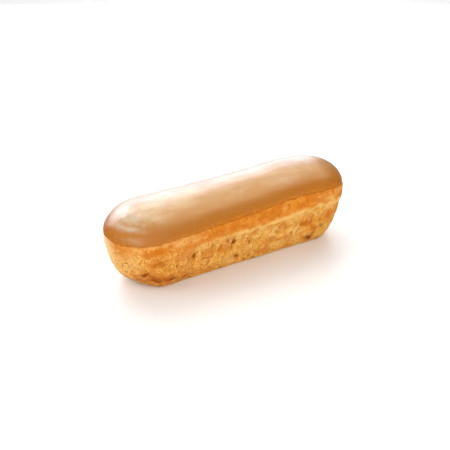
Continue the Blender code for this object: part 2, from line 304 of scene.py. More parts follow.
choux = {
    "crustIn": 0.3 * mm,        # the crust lies this far behind the outer form
    "ridgeAt": 20.7 * mm,       # mean height of the crack's upper lip
    "ridgeWaves": ((1.6 * mm, 25 * mm, 5.84), (0.8 * mm, 9 * mm, 3.36)),    # sway, length, start
    "ridgeBehind": 3.8,         # angle by which the waves behind differ
    "ridgeTurns": 4 * mm,       # half width of the strip where they pass into each other
    "ridgeOut": 0.35 * mm,
    "ridgeHalf": 1.3 * mm,
    "grooveIn": 0.25 * mm,
    "grooveHalf": 1.2 * mm,
    "grooveBelow": 1.9 * mm,
    "shutEnds": 0.15,
    "frontOpens": (-45 * mm, 5 * mm),
    "backOpens": (-62 * mm, -32 * mm),
    "backShuts": (5 * mm, 60 * mm),
    "sidesMeet": 20 * mm,
    "secondLipAt": 28.1 * mm,   # a fainter lip near the right end
    "secondLipHalf": 0.9 * mm,
    "secondLipOut": 0.25 * mm,
    "secondLipRises": (35 * mm, 43 * mm),
    "tornIn": 0.3 * mm,
    "tornFade": 1.5 * mm,
    "tornLevel": 0.3,
    "pitCount": 120,
    "pitSeed": 7,
    "pitHeights": (4 * mm, 18.5 * mm),
    "pitRadii": (1.3 * mm, 2.5 * mm),
    "pitDepths": (0.35 * mm, 1.0 * mm),
    "pitStretch": (0.8, 1.6),
    "smallPits": 1.8,
    "lump": 0.45 * mm,
    "crustFade": 3 * mm,
    "footFade": 2 * mm,
    "turnIn": 0.8 * mm,         # distance over which the crust turns in under the icing
    # large open bubbles: place along, height, radius and depth in mm, turned about for the back
    "openBubbles": (
        (-10, 15.5, 1.9, 1.3), (-33, 14, 1.4, 1), (-1, 12.5, 1.2, 1), (-7, 5.5, 1.7, 0.9),
        (1, 4.5, 1.3, 0.8), (-22.5, 16.5, 1.3, 0.8), (-14.5, 18, 1.1, 0.7), (-18.5, 13, 1.1, 0.8),
        (-42, 12, 0.9, 0.8), (16, 13.5, 1.2, 0.7), (-23.5, 8, 1.3, 0.8), (26, 10, 1, 0.6),
    ),
    # small dark pits, their dark partly painted shade, toasted, burnt and pale spots: place along,
    # height, half length and half height in mm, strength
    "darkPits": (
        (-10, 14.6, 1, 1.7, 1), (-14, 17.1, 0.7, 1, 0.8), (-0.6, 12.3, 0.6, 1.3, 0.8),
        (-32.6, 13.6, 0.6, 1.7, 0.9), (-31.6, 16, 0.4, 1, 0.7), (-42.3, 11.9, 0.4, 0.8, 1),
        (-42.9, 18.1, 0.6, 0.5, 0.6), (-22.5, 16.9, 0.5, 1, 0.7), (-17.6, 15.4, 0.4, 1.3, 0.7),
        (-20.2, 19.4, 0.7, 0.5, 0.8), (-25.9, 18.8, 0.9, 0.7, 0.5), (-25.9, 16, 1.1, 0.4, 0.6),
        (-23.8, 10.2, 1.2, 0.4, 0.7), (-27.8, 7.8, 0.6, 0.5, 0.7), (-24.2, 6.7, 0.8, 0.4, 0.6),
        (-21.9, 4, 1.2, 0.5, 0.7), (-6.5, 5.2, 1.2, 1.3, 0.75), (0.8, 3.7, 1, 0.5, 0.6),
        (-12.5, 18.1, 0.7, 0.4, 0.6), (-10.7, 11.7, 0.5, 0.7, 0.7), (-4, 18.4, 0.8, 0.4, 0.6),
        (-2.6, 17.4, 0.5, 0.4, 0.6), (-4.6, 15.8, 0.5, 0.4, 0.6), (-2.6, 15.4, 0.5, 0.4, 0.6),
        (5.1, 13, 0.5, 1, 0.6), (-39.2, 24.2, 0.4, 0.5, 0.5), (-28.2, 14.4, 0.7, 1, 0.6),
        (-14.8, 3.4, 0.8, 0.5, 0.3), (-36.6, 3.4, 1.6, 0.7, 0.7), (-40.6, 8.2, 0.7, 0.7, 0.4),
        (-21.8, 11.1, 0.5, 1, 0.6), (14.2, 18.2, 1.2, 0.4, 0.55), (16.7, 16.2, 0.6, 0.7, 0.55),
        (29.2, 9.7, 0.6, 1, 0.6), (23.1, 9.7, 0.8, 0.5, 0.5), (-63.9, 15.8, 0.4, 0.5, 0.6),
        (-63.1, 14, 0.3, 0.6, 0.55), (-64.5, 15.3, 0.3, 0.6, 0.4), (-59.7, 16.9, 0.4, 0.4, 0.55),
        (-58, 16.6, 0.45, 0.35, 0.5), (-61.8, 13.5, 0.4, 0.4, 0.45), (-60.9, 19.8, 0.5, 0.4, 0.3),
        (-54.6, 18.7, 0.5, 0.4, 0.4), (-57.6, 22.8, 0.4, 0.5, 0.5), (-51.4, 16.7, 0.6, 0.4, 0.6),
        (-63.3, 10.3, 0.4, 0.7, 0.4),
    ),
    "toasted": (
        (-50, 6, 9, 4.5, 1), (-56.5, 20.8, 3, 1.3, 1.5), (-51.8, 22.2, 3.4, 1.3, 1.5),
        (-52.5, 15.5, 4.5, 3, 1), (-57, 9.7, 3.5, 2.5, 0.9), (-65, 21, 3, 2.5, 0.8),
        (49, 16, 4, 3, 1.3), (34, 14.4, 4, 2.4, 1.3), (40, 10, 3, 2.2, 1.3), (25.6, 8, 3, 1.8, 0.6),
        (-24, 12, 3, 3, 0.4), (-30, 5, 6, 2.5, 0.4), (11, 25.3, 6, 1.5, 0.6), (-16.5, 8.8, 2, 0.8, 0.7),
    ),
    "burnt": (
        (-57.2, 9.4, 1.8, 1.1, 1.1), (-50.6, 5.2, 3.6, 1.1, 1), (-45, 5, 2.8, 0.9, 1.1),
        (-36.2, 3.9, 2.2, 0.9, 0.8), (38.7, 4, 2.6, 1.5, 1.3), (45, 10.5, 1.5, 1.4, 0.8),
        (-52.3, 14.9, 2.4, 1.4, 0.35), (-54.6, 8.1, 2, 1, 0.4), (-50, 5.5, 9, 2.6, 0.4),
    ),
    # pale spots: partly the crust's own paler patches, partly painted highlights just under the icing's
    # edge at the left
    "paleAndPaintedLight": (
        (28, 11.5, 5, 3, 0.9), (13, 13.7, 4, 3, 0.8), (-4.5, 12, 2, 2.5, 0.7), (-10.3, 4.4, 3, 1.8, 0.9),
        (-38, 15.5, 2.8, 2.8, 0.6), (-61.5, 9.3, 2, 1.2, 0.8), (18, 8, 10, 3.5, 0.6),
        (-30.4, 18, 4, 2, 0.5), (-12.1, 18.6, 4, 1.6, 0.6), (6.4, 6.5, 6, 1.2, 0.6),
        (-22.1, 7.5, 1, 2.6, 0.7), (-63.9, 18.8, 2.2, 2, 0.7), (-63.5, 10.8, 1.6, 2, 0.6),
        (-60.3, 13.7, 1.4, 1.5, 0.5), (48, 25.4, 6, 1.5, 0.75), (-61, 22.5, 4, 3, 0.65),
        (-55.4, 24.6, 4, 1.2, 0.7), (-48, 25.2, 5, 1.4, 0.75), (-41, 24.2, 6, 2.2, 0.75),
        (-34, 24, 5, 2, 0.6), (19.5, 26.5, 1.2, 1.6, 0.5),
    ),
    # painted light: ramps along and up of the left end, painted paler as if lit from the left
    "litEnd": (-50 * mm, -66 * mm),
    "litEndUp": (26 * mm, 20 * mm),
    # painted light on the left end's shoulder, paler where it faces back and to the left
    "endLightAt": (-53 * mm, -65 * mm),     # the palest place there, and the way that it faces
    "endLightFaces": (-0.8, 0.6, 0),
    "endLightTurns": (0.6, 1.0),
    # patches that break up each mark: level, contrast, size, seed
    "endPatches": (0.7, 0.8, 4 * mm, 23),
    "lipPatches": (0.6, 1.0, 3 * mm, 22),
    "lipShadePatches": (0.5, 1.0, 2.5 * mm, 24),
    "secondLipPatches": (0.45, 1.1, 1.8 * mm, 25),
    "lipReaches": (2.9 * mm, 1.6 * mm),     # of the pale lip, below its line and above
    # painted shade: olive shade in the groove under the crack's lip, its distance below the line and half
    # width
    "lipShadeAt": 4.1 * mm,         # the dull groove lies this far below the line
    "lipShadeHalf": 1.6 * mm,
    "secondLipMark": 0.75,
    "grainFades": (35 * mm, -45 * mm),
    "reliefEases": (-5 * mm, 40 * mm),
    "detailFade": 0.6 * mm,
    "detailAtFoot": 0.35,       # share of the fine relief that is left at the foot
    "baseRough": (0.12 * mm, 2.2 * mm, 8, 0.2),     # height, length, ease, start of the base's relief
    "hollowScale": 0.6 * mm,
    "hollowReach": 6,           # rows and columns over which the relief is averaged
    "aboveScale": 10 * mm,
    "partColumns": (45, 33),    # the part's own columns, which the pits are drawn from
    "columns": (270, 198),
    "sideRows": 86,
    "hiddenRows": 6,
    "hiddenCrowd": 1.2,
    "baseRows": 5,
}


# Arc length of the icing's lower edge in each column: the mean height, plus a rise to the right,
# one long sine on each side, two short ones and two layers of noise, less a dip that sets in round
# the ends.
def icingEdge(columns):
    edge = formPoints(np.full(len(columns[0]), arcAt(icing["edgeAt"])), columns)
    t, y = 2 * edge[:, 0] / form["length"], edge[:, 1] / mm
    behind = (1 + np.tanh(y / icing["sidesMeet"])) / 2
    start = icing["swayFront"] + (icing["swayBack"] - icing["swayFront"]) * behind
    ripple = sum(np.sin(along * t + across * y + turn) for along, across, turn in icing["ripples"])
    level = icing["edgeAt"] + icing["edgeRise"] * t - icing["edgeDip"] * ramp(abs(t), *icing["dipAt"])
    level = level + icing["edgeSway"] * np.sin(math.pi * t + start) + icing["edgeRipple"] * ripple
    for n, (height, length) in enumerate(icing["frayLayers"]):
        noise = softNoise(edge / (length * icing["frayLength"]), 3 + n)
        level = level + height * icing["edgeFray"] * noise
    return arcAt(level / (1 + form["tallerToRight"] * t))


# Height of the crack's upper lip: the mean plus two sines, shifted from front to back.
def ridgeHeight(x, side):
    shift = choux["ridgeBehind"] * (side + 1) / 2
    waves = sum(sway * np.sin(x / length + start + shift) for sway, length, start in choux["ridgeWaves"])
    return choux["ridgeAt"] + waves


# How far the crack is open, from 0 to 1: smooth ramps that shut it at the left end in front and
# at both ends behind.
def ridgeStrength(x, y):
    front = ramp(x, *choux["frontOpens"])
    back = ramp(x, *choux["backOpens"]) * (1 - ramp(x, *choux["backShuts"]))
    behind = smoothStep(0.5 + y / choux["sidesMeet"])
    return choux["shutEnds"] + (1 - choux["shutEnds"]) * (front + (back - front) * behind)


# The second lip, from 0 to 1: a bell over its height, let in by a ramp along the front.
def secondLip(x, y, z):
    front = ramp(x, *choux["secondLipRises"]) * smoothStep(0.5 - y / choux["sidesMeet"])
    return front * bell(z - choux["secondLipAt"], choux["secondLipHalf"])


# Slow swelling of the whole pastry: three crossed waves, with their lengths in mm.
def chouxLumps(points):
    x, y, z = (points[..., i] / mm for i in range(3))
    wave = np.sin(x / 8.3 + 0.05 * y + 1.3) * np.cos(z / 9 + x / 37)
    wave = wave + 0.6 * np.sin(x / 4.7 - z / 6.1 + np.sin(y / 11) + 0.4)
    wave = wave + 0.4 * np.sin(x / 2.9 + z / 4.3 + y / 7.7)
    return choux["lump"] / 2 * wave


# The large torn bubbles: seeded places, radii, upright stretches and depths.
def chouxPits():
    draw = np.random.default_rng(choux["pitSeed"])
    columns = outlineColumns(*choux["partColumns"])
    count, size = choux["pitCount"], len(columns[0])
    column = draw.integers(0, size, count)
    height = draw.uniform(*choux["pitHeights"], count)
    grade = draw.random(count) ** choux["smallPits"]
    radius = choux["pitRadii"][0] + (choux["pitRadii"][1] - choux["pitRadii"][0]) * grade
    depth = draw.uniform(*choux["pitDepths"], count)
    stretch = draw.uniform(*choux["pitStretch"], count)
    places = formPoints(np.tile(arcAt(height)[:, None], size), columns)
    return places[np.arange(count), column], radius, stretch, depth


# Main relief of the crust, outward: lumps, less the step to the torn side, plus a bell for the
# crack's lip, less one for its groove, plus the second lip, and less a bell for each large pit.
def mainRelief(points):
    x, y, z = points[..., 0], points[..., 1], points[..., 2]
    above = z - ridgeHeight(x, np.tanh(y / choux["ridgeTurns"]))
    opened = ridgeStrength(x, y)
    torn = smoothStep(choux["tornLevel"] - above / choux["tornFade"]) * opened
    offset = chouxLumps(points) - choux["crustIn"] - choux["tornIn"] * torn
    offset = offset + opened * choux["ridgeOut"] * bell(above, choux["ridgeHalf"])
    offset = offset - opened * choux["grooveIn"] * bell(above + choux["grooveBelow"], choux["grooveHalf"])
    offset = offset + choux["secondLipOut"] * secondLip(x, y, z)
    for place, radius, stretch, depth in zip(*chouxPits()):
        reach = np.hypot(x - place[0], y - place[1]) / radius
        climb = (z - place[2]) / (radius * stretch)
        offset = offset - depth * np.exp(-(reach**2) - climb**2)
    return offset, above, opened, torn


fineRelief = {                  # lengths in mm
    "warpSizes": (3.3, 1.2),    # noise that bends the strands, and how far
    "warps": (0.9, 0.4),
    "slant": 0.45,              # they lean this much to the right as they climb
    "upright": 0.7,             # and are longer upright than across
    "strandSizes": (3.4, 1.7),
    "strandHeights": (0.38, 0.24),
    "strandLevel": 0.45,        # height of a vein that counts as level
    "veinSteepness": 1.7,
    "patches": (0.5, 1.3, 7 * mm, 21),      # level, contrast, size in metres, seed
    "smoothShare": 0.25,        # relief left where the crust is whole, and between the patches
    "patchShare": 0.4,
    "easedRight": 0.5,          # loss of relief towards the right
    "bubbleSpread": 0.3,
    "bubbleReach": 0.75,
    "bubbleDepth": 0.45,
    "bubbles": (2.3, 41, 0.55),     # size, seed, limit; the same for holes and pores
    "holeDepth": 0.25,
    "holes": (1.25, 42, 0.5),
    "poreDepth": 0.08,          # pores of the closed crust
    "pores": (1.1, 43, 0.4),
    "poreLoss": 0.6,
    "pitDepth": 0.5,
    "crackSize": 2.6,           # fine cracks of the left end
    "crackHalf": 0.07,
    "crackDepth": 0.13,
    "crackPatches": (0.1, 1.0, 6 * mm, 71),
    "grainSizes": (4.5, 1.6, 0.8),
    "grainHeights": (0.2, 0.13, 0.08),
    "openHeight": 1.3,          # height of an open bubble against its width
    "spotsMeet": 16,            # across, where the spots in front pass into those behind
    "spotBendSize": 2.4,
    "spotBend": 0.55,
}


# Patches from 0 to 1: a smooth step of a level plus noise.
def patchy(points, level, contrast, size, seed):
    return smoothStep(level + contrast * softNoise(points / size, seed))


# Spots given along and up in mm: bells of an elliptical distance bent by noise, once in front and
# once behind, turned about; the two sets blend into each other round the ends.
def spotSum(points, spots):
    p = points / mm
    bent = p / fineRelief["spotBendSize"]
    bendX, bendZ = (fineRelief["spotBend"] * softNoise(bent, seed) for seed in (15, 16))
    behind = smoothStep(0.5 + p[..., 1] / fineRelief["spotsMeet"])
    total = np.zeros(behind.shape)
    for along, up, halfX, halfZ, strength in spots:
        climb = (p[..., 2] - up) / halfZ + bendZ
        for x, share in ((p[..., 0], 1 - behind), (-p[..., 0], behind)):
            reach = np.hypot((x - along) / halfX + bendX, climb)
            total = np.maximum(total, share * strength * np.exp(-(reach**2)))
    return total


# Veins: 1 on the lines where gradient noise crosses zero, falling off as the square to both sides.
def veins(points, seed):
    return np.clip(1 - fineRelief["veinSteepness"] * abs(softNoise(points, seed)), 0, 1) ** 2


# Bubbles: round bowls in those cells whose own number passes a limit, deepest at the middle.
def bubbles(points, size, seed, limit):
    near, second, mark = cellNoise(points / size, seed)
    kept = smoothStep((mark - limit) / fineRelief["bubbleSpread"])
    return (1 - smoothStep(near / fineRelief["bubbleReach"])) * kept


# Fine relief: on the torn side, two sizes of veins raised as strands, and bowls of torn bubbles,
# large and small, gathered in patches; on the closed crust, pores; fine cracks where the crust
# stayed shut; three layers of grain; the open bubbles and the small dark pits at their own places.
def chouxDetail(points, torn, opened):
    fine = fineRelief
    p = points / mm
    for k, (size, warp) in enumerate(zip(fine["warpSizes"], fine["warps"])):
        bend = [softNoise(points / mm / size, 11 + 4 * k + n) for n in range(3)]
        p = p + warp * np.stack(bend, axis=-1)
    upright = fine["upright"] * p[..., 2]
    lean = np.stack([p[..., 0] - fine["slant"] * p[..., 2], p[..., 1], upright], axis=-1)
    patch = patchy(points, *fine["patches"])
    rough = (1 - fine["smoothShare"]) * torn * (fine["patchShare"] + (1 - fine["patchShare"]) * patch)
    rough = rough * (1 - fine["easedRight"] * ramp(points[..., 0], *choux["reliefEases"]))
    rough = rough + fine["smoothShare"]
    relief = np.zeros_like(torn)
    for n, (size, height) in enumerate(zip(fine["strandSizes"], fine["strandHeights"])):
        relief = relief + height * (veins(lean / size, 31 + n) - fine["strandLevel"]) * rough
    relief = relief - fine["bubbleDepth"] * bubbles(lean, *fine["bubbles"]) * torn * patch
    relief = relief - fine["holeDepth"] * bubbles(lean, *fine["holes"]) * rough
    relief = relief - fine["poreDepth"] * bubbles(p, *fine["pores"]) * (1 - fine["poreLoss"] * torn)
    near, second, mark = cellNoise(p / fine["crackSize"], 61)
    crack = bell(second - near, fine["crackHalf"]) * patchy(points, *fine["crackPatches"])
    relief = relief - fine["crackDepth"] * crack * (1 - opened)
    for n, (size, height) in enumerate(zip(fine["grainSizes"], fine["grainHeights"])):
        relief = relief + height * softNoise(p / size, 81 + n)
    for along, up, radius, depth in choux["openBubbles"]:
        relief = relief - spotSum(points, ((along, up, radius, fine["openHeight"] * radius, depth),))
    relief = relief - fine["pitDepth"] * spotSum(points, choux["darkPits"])
    return relief * mm


# Bun: rings of the base from the spine out, the side up to the icing's edge, then under the icing
# to the top. Each side point is the form point moved along its normal by the relief. Each value
# kept for the material has a plain number for the base.
def makeBun():
    columns = outlineColumns(*choux["columns"])
    edge = icingEdge(columns)
    share = np.linspace(0, 1, choux["sideRows"] + 1)[:-1, None]
    hidden = np.linspace(0, 1, choux["hiddenRows"] + 1)[:, None] ** choux["hiddenCrowd"]
    arc = np.vstack([share * edge, edge + (arcs[-1] - edge) * hidden])
    base = formPoints(arc, columns)
    x, y, z = np.moveaxis(base, -1, 0)
    relief, above, opened, torn = mainRelief(base)
    nearEdge = smoothStep((arc - edge) / choux["turnIn"] + 1)
    inset = (icing["lip"] + icing["gap"]) * nearEdge
    inset = inset + (icing["thick"] - icing["lip"]) * smoothStep((arc - edge) / icing["spread"])
    fadeUp = smoothStep((edge - arc) / choux["crustFade"])
    fadeDown = smoothStep(z / choux["footFade"])
    relief = relief * fadeUp * fadeDown
    atFoot = choux["detailAtFoot"]
    detail = chouxDetail(base, torn, opened) * smoothStep((edge - arc) / choux["detailFade"])
    detail = detail * (atFoot + (1 - atFoot) * fadeDown)
    offset = relief - choux["crustIn"] * (1 - fadeUp) + detail - inset
    normals = outwardNormals(base)
    points = base + normals * offset[..., None]
    points[..., 2] = np.maximum(points[..., 2], 0)
    points[0, :, 2] = 0
    points[-1] = base[-1] - [0, 0, icing["thick"] + icing["gap"]]
    spine = np.stack([columns[0], 0 * columns[0], 0 * columns[0]], axis=-1)
    out = np.linspace(0, 1, choux["baseRows"] + 1)[:-1, None, None]
    under = spine + (points[0] - spine) * out
    height, length, ease, start = choux["baseRough"]
    rough = height * (1 + softNoise(under / length, 91)) / 2
    under[..., 2] = rough * smoothStep(ease * (1 - out[..., 0])) * smoothStep(ease * out[..., 0] + start)
    relief = relief + detail
    # Hollows, the relief less its local mean, are browned in the material: partly the crumb's own browner
    # inside, partly painted shade.
    hollow = gridBlur(relief, choux["hollowReach"]) - relief
    lipMark = opened * bell(above, np.where(above < 0, *choux["lipReaches"]))
    lipMark = lipMark * patchy(base, *choux["lipPatches"])
    second = choux["secondLipMark"] * patchy(base, *choux["secondLipPatches"]) * secondLip(x, y, z)
    # Painted shade: an olive band in the groove under the crack's lip, broken into patches.
    groove = opened * bell(above + choux["lipShadeAt"], choux["lipShadeHalf"])
    groove = groove * patchy(base, *choux["lipShadePatches"])
    # Painted light: the left end paler, as if lit from the left, broken into patches.
    litEnd = ramp(x, *choux["litEnd"]) * patchy(base, *choux["endPatches"])
    litEnd = litEnd * ramp(z, *choux["litEndUp"])
    # Painted light: the left end's shoulder paler where it faces back and to the left.
    turned = normals @ np.array(choux["endLightFaces"])
    values = {
        "hollow": (np.clip(hollow / choux["hollowScale"], -1, 1), 0.0),
        "torn": (torn, 0.0),
        "aboveCrack": (np.clip(above / choux["aboveScale"], -2, 2), -2.0),
        "lip": (np.maximum(lipMark, second), 0.0),
        "groove": (groove, 0.0),
        "toasted": (spotSum(base, choux["toasted"]), 0.2),
        "burnt": (spotSum(base, choux["burnt"]), 0.1),
        "pitted": (spotSum(base, choux["darkPits"]), 0.0),
        "paleAndPaintedLight": (np.maximum(spotSum(base, choux["paleAndPaintedLight"]), litEnd), 0.0),
        "height": (z / form["height"], 0.0),
        "grainy": (ramp(x, *choux["grainFades"]), 0.5),
        "paintedEndLight": (ramp(x, *choux["endLightAt"]) * ramp(turned, *choux["endLightTurns"]), 0.0),
    }
    for name, (side, plain) in values.items():
        values[name] = np.vstack([np.full(under.shape[:2], plain), side])
    return ringMesh("bakedChoux", np.vstack([under, points]), values)


# Fondant: the outer skin from the lip to the top, and the inner skin back down to the lip. The
# outer one is the form plus slow noise, thinned to a quarter-round nose at its edge.
def makeIcing():
    columns = outlineColumns(*icing["columns"])
    edge = icingEdge(columns)
    length, reach = arcs[-1] - edge, icing["lipReach"]
    lipShare = np.linspace(0, 1, icing["lipRows"])[:, None] ** icing["lipCrowd"] * reach
    topShare = np.linspace(0, 1, icing["topRows"] + 1)[1:, None]
    above = np.vstack([edge + lipShare, edge + reach + (length - reach) * topShare]) - edge
    outer = formPoints(edge + above, columns)
    normal = outwardNormals(outer)
    normal[-1] = (0, 0, 1)
    lip, thicker = icing["lip"], icing["thick"] - icing["lip"]
    nose = lip * np.sqrt(1 - (1 - np.clip(above / lip, icing["noseLeast"], 1)) ** 2)
    swell = icing["swell"] * softNoise(outer / icing["swellLength"], 101)
    swell = swell + icing["dimple"] * softNoise(outer / icing["dimpleLength"], 102)
    left = icing["leftDimple"] * ramp(outer[..., 0], *icing["leftDimpleFades"])
    swell = swell + left * softNoise(outer / icing["leftDimpleLengths"], 103)
    swell = swell + icing["leftFine"][0] * left * softNoise(outer / icing["leftFine"][1], 104)
    swell = swell * smoothStep(above / icing["swellFade"])
    outer = outer + normal * (swell + nose - lip)[..., None]
    innerRise = length * np.linspace(1, 0, icing["innerRows"] + 1)[:, None] ** icing["innerCrowd"]
    inner = formPoints(edge + innerRise, columns)
    lift = outwardNormals(inner[::-1])[::-1]
    lift[0] = (0, 0, 1)
    depth = lip + thicker * smoothStep(innerRise / icing["spread"])
    inner = inner - lift * depth[..., None]
    rings = np.vstack([outer, inner[1:], outer[:1]])
    rise = np.vstack([above, innerRise[1:], above[:1]])
    strength, along, up = icing["deepLeft"]
    leftLow = strength * ramp(rings[..., 0], *along) * ramp(rings[..., 2], *up)
    strength, along = icing["deepRight"]
    right = strength * ramp(rings[..., 0], *along)
    # The deeper places include painted dark reflections at the left tip; the pale spots are painted
    # highlights.
    values = {
        "aboveEdge": rise / icing["riseScale"],
        "deepened": np.maximum(np.maximum(leftLow, right), spotSum(rings, icing["deepSpots"])),
        "paleAndPaintedLight": spotSum(rings, icing["paintedHighlights"]),
    }
    return ringMesh("pouredFondant", rings, values)


# Adds a node, sets its properties and plain inputs, and links the inputs given as sockets.
def addNode(tree, kind, inputs=None, **settings):
    node = tree.nodes.new(kind)
    for key, value in settings.items():
        setattr(node, key, value)
    for key, value in (inputs or {}).items():
        if isinstance(value, bpy.types.NodeSocket):
            tree.links.new(value, node.inputs[key])
        else:
            node.inputs[key].default_value = value
    return node


# One Math node on two values.
def mathNode(tree, operation, a, b=0.0, clamp=False):
    return addNode(tree, "ShaderNodeMath", {0: a, 1: b}, operation=operation, use_clamp=clamp).outputs[0]


# The product of two or more values.
def times(tree, value, *others):
    for other in others:
        value = mathNode(tree, "MULTIPLY", value, other)
    return value


# The larger of two values.
def larger(tree, a, b):
    return mathNode(tree, "MAXIMUM", a, b)


# A smooth step of a value between two limits, from one result to another.
def rampNode(tree, value, low, high, toLow=0.0, toHigh=1.0):
    inputs = {"Value": value, "From Min": low, "From Max": high, "To Min": toLow, "To Max": toHigh}
    return addNode(tree, "ShaderNodeMapRange", inputs, interpolation_type="SMOOTHSTEP").outputs["Result"]


# One colour mixed over another by a factor.
def mixColours(tree, factor, a, b):
    return addNode(tree, "ShaderNodeMix", {0: factor, 6: a, 7: b}, data_type="RGBA").outputs[2]


# Colours laid over each other in turn, each by its own mask.
def layColours(tree, colour, layers, look):
    for mask, name in layers:
        colour = mixColours(tree, mask, colour, look[name])
    return colour


# A value kept on the mesh, by its name.
def readValue(tree, name):
    return addNode(tree, "ShaderNodeAttribute", attribute_name=name).outputs["Fac"]


# A new group with number inputs and outputs: the group, what it takes in, the three parts of the
# place in object space, and what it gives out.
def newGroup(name, takes, gives):
    group = bpy.data.node_groups.new(name, "ShaderNodeTree")
    for label, value in takes:
        socket = group.interface.new_socket(label, in_out="INPUT", socket_type="NodeSocketFloat")
        socket.default_value = value
    for label in gives:
        group.interface.new_socket(label, in_out="OUTPUT", socket_type="NodeSocketFloat")
    given, result = group.nodes.new("NodeGroupInput").outputs, group.nodes.new("NodeGroupOutput").inputs
    place = addNode(group, "ShaderNodeTexCoord").outputs["Object"]
    return group, given, addNode(group, "ShaderNodeSeparateXYZ", {0: place}).outputs, result


# Places a group in a material once for each named set of values, and gives the outputs by name.
def placeGroup(tree, group, sets):
    placed = {}
    for name, values in sets.items():
        node = addNode(tree, "ShaderNodeGroup", node_tree=group)
        for socket, value in zip(node.inputs, values):
            socket.default_value = value
        placed[name] = node.outputs
    return placed


mottleDetail = 4.0              # layers of noise
crumbLook = {"detail": 3.0, "bend": 1.6, "steepness": 4.0, "lineHalf": 0.07}


# Shared effect: cloudy patches in object space, stretched along the length, as a mask from 0 to 1.
def makeMottleGroup():
    takes = (("Size", 5.0), ("Along", 1.0), ("Contrast", 1.0), ("Shift", 0.0))
    group, given, parts, result = newGroup("mottle", takes, ("Mask",))
    along = mathNode(group, "DIVIDE", parts[0], given["Along"])
    along = mathNode(group, "ADD", along, given["Shift"])
    joined = addNode(group, "ShaderNodeCombineXYZ", {0: along, 1: parts[1], 2: parts[2]}).outputs[0]
    scale = mathNode(group, "DIVIDE", 1 / mm, given["Size"])
    inputs = {"Vector": joined, "Scale": scale, "Detail": mottleDetail}
    noise = addNode(group, "ShaderNodeTexNoise", inputs).outputs["Fac"]
    centred = mathNode(group, "SUBTRACT", noise, 0.5)
    spread = times(group, centred, given["Contrast"], 2.0)
    group.links.new(mathNode(group, "ADD", spread, 0.5, clamp=True), result["Mask"])
    return group


# Shared effect: crumb. Cells of a Voronoi pattern bent by noise, each with a soft dot at its own
# point, kept only where the cell's random number passes the limit, and thin lines between cells.
def makeCrumbGroup():
    takes = (("Size", 1.2), ("Limit", 0.5), ("Reach", 0.5), ("Upright", 1.0), ("Slant", 0.0))
    group, given, parts, result = newGroup("crumb", takes, ("Pores", "Cracks"))
    along = mathNode(group, "SUBTRACT", parts[0], times(group, parts[2], given["Slant"]))
    up = mathNode(group, "DIVIDE", parts[2], given["Upright"])
    joined = addNode(group, "ShaderNodeCombineXYZ", {0: along, 1: parts[1], 2: up}).outputs[0]
    scale = mathNode(group, "DIVIDE", 1 / mm, given["Size"])
    inputs = {"Vector": joined, "Scale": scale, "Detail": crumbLook["detail"]}
    bend = addNode(group, "ShaderNodeTexNoise", inputs).outputs["Color"]
    centred = addNode(group, "ShaderNodeVectorMath", {0: bend, 1: (0.5, 0.5, 0.5)}, operation="SUBTRACT")
    inputs = {0: centred.outputs[0], "Scale": mathNode(group, "DIVIDE", crumbLook["bend"], scale)}
    warp = addNode(group, "ShaderNodeVectorMath", inputs, operation="SCALE").outputs[0]
    bent = addNode(group, "ShaderNodeVectorMath", {0: joined, 1: warp}).outputs[0]
    inputs = {"Vector": bent, "Scale": scale}
    cells = addNode(group, "ShaderNodeTexVoronoi", inputs).outputs
    borders = addNode(group, "ShaderNodeTexVoronoi", inputs, feature="DISTANCE_TO_EDGE").outputs
    mark = addNode(group, "ShaderNodeSeparateXYZ", {0: cells["Color"]}).outputs[0]
    kept = mathNode(group, "SUBTRACT", mark, given["Limit"])
    kept = mathNode(group, "MULTIPLY", kept, crumbLook["steepness"], clamp=True)
    dot = rampNode(group, cells["Distance"], given["Reach"], 0.0)
    group.links.new(times(group, kept, dot), result["Pores"])
    group.links.new(rampNode(group, borders["Distance"], crumbLook["lineHalf"], 0.0), result["Cracks"])
    return group


# A material and its shader, with what is the same all over set on the shader's own sockets.
def newMaterial(name, sockets):
    material = bpy.data.materials.new(name)
    material.use_nodes = True
    shader = material.node_tree.nodes["Principled BSDF"]
    for label, value in sockets.items():
        shader.inputs[label].default_value = value
    return material, material.node_tree, shader


